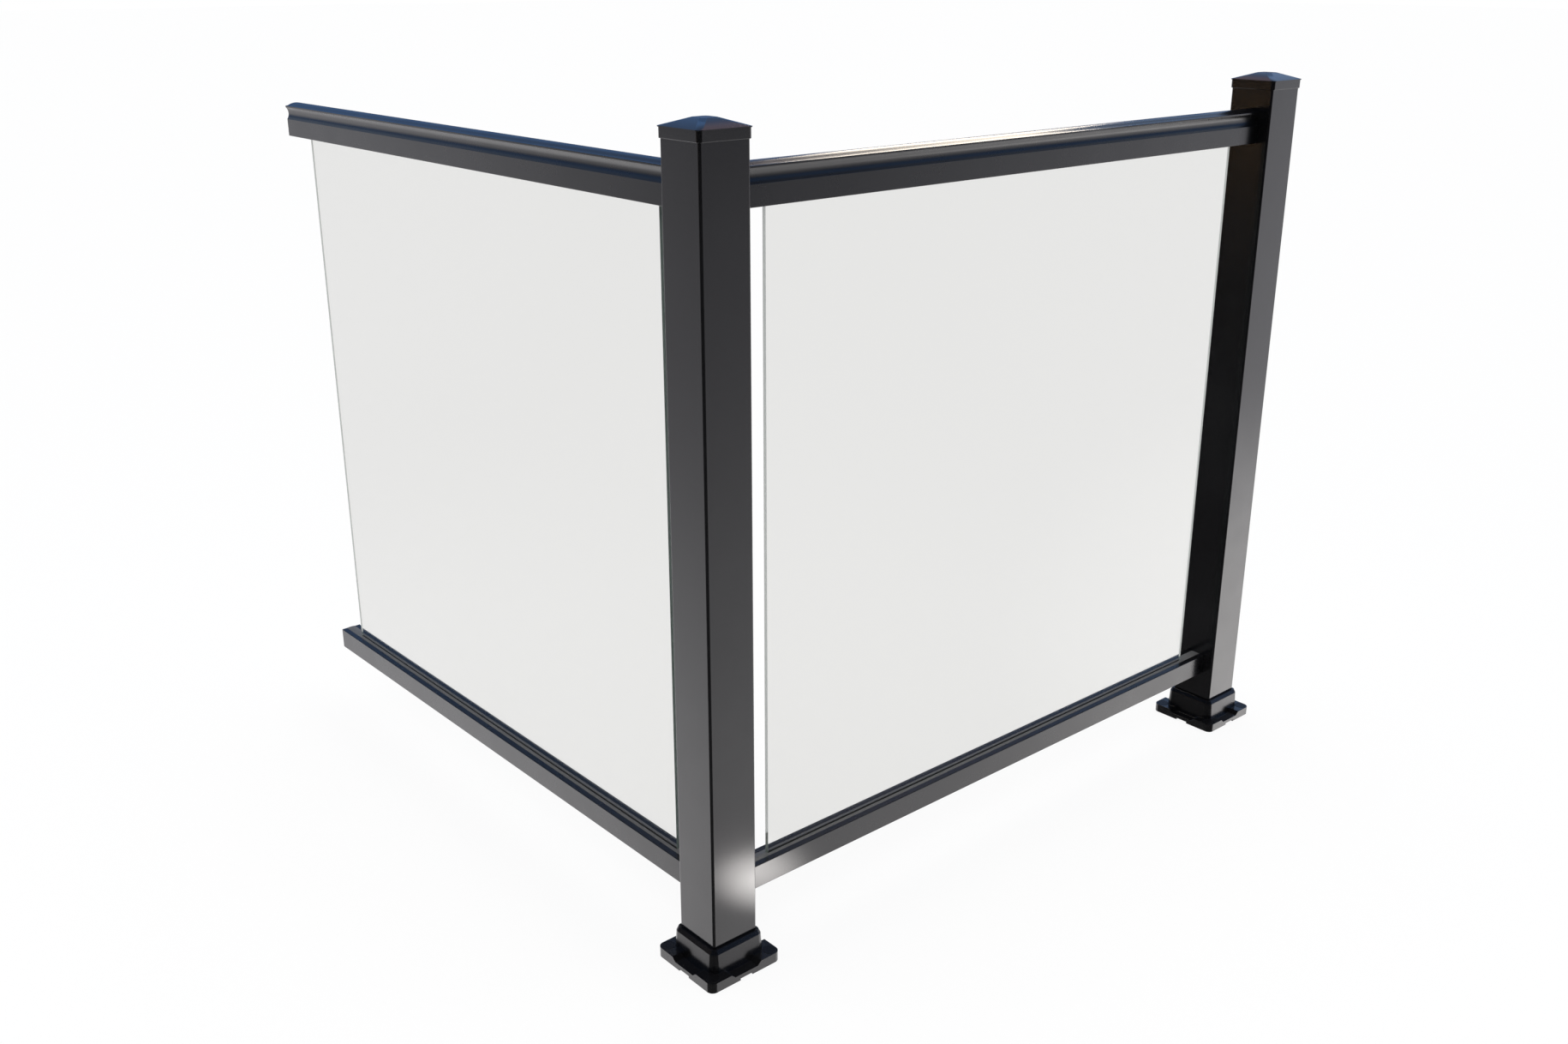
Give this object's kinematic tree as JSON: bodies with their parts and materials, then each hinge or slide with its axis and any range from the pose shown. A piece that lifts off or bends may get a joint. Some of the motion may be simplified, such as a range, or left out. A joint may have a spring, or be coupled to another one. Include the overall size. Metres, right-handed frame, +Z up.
{
  "type": "corner glass railing",
  "caption": "Corner glass railing: square black posts on cast flanged bases, coved top rails, square bottom rails and clear panels in gaskets; a fixed guard for decks.",
  "frame": {"origin": "centre of the underside of the corner post's base, on the deck", "axes": "+Z up, +X along the right bay to the end post, +Y along the left bay to its free rail ends"},
  "size_m": [1.073, 0.9893, 0.9668],
  "materials": {
    "extrusion_coat": "satin black powder coat on extruded aluminium",
    "casting_coat": "satin black powder coat on cast aluminium",
    "plug_plastic": "satin black",
    "gasket_rubber": "matt extruded rubber",
    "setting_rubber": "matt",
    "panel_glass": "clear polished, faint green edge",
    "connector_metal": "mill finish"
  },
  "bodies": {
    "root": {"corner_post_tube": "extrusion_coat", "corner_post_cap": "casting_coat", "corner_post_base": "casting_coat", "corner_post_screw_plugs": "plug_plastic", "end_post_tube": "extrusion_coat", "end_post_cap": "casting_coat", "end_post_base": "casting_coat", "end_post_screw_plugs": "plug_plastic", "right_top_rail": "extrusion_coat", "right_bottom_rail": "extrusion_coat", "right_top_gasket": "gasket_rubber", "right_bottom_gasket": "gasket_rubber", "right_glass_panel": "panel_glass", "right_setting_blocks": "setting_rubber", "right_top_connector_near": "connector_metal", "right_top_connector_far": "connector_metal", "right_bottom_connector_near": "connector_metal", "right_bottom_connector_far": "connector_metal", "left_top_rail": "extrusion_coat", "left_bottom_rail": "extrusion_coat", "left_top_gasket": "gasket_rubber", "left_bottom_gasket": "gasket_rubber", "left_glass_panel": "panel_glass", "left_setting_blocks": "setting_rubber", "left_top_connector_near": "connector_metal", "left_top_connector_far": "connector_metal", "left_bottom_connector_near": "connector_metal", "left_bottom_connector_far": "connector_metal"}
  },
  "joints": []
}
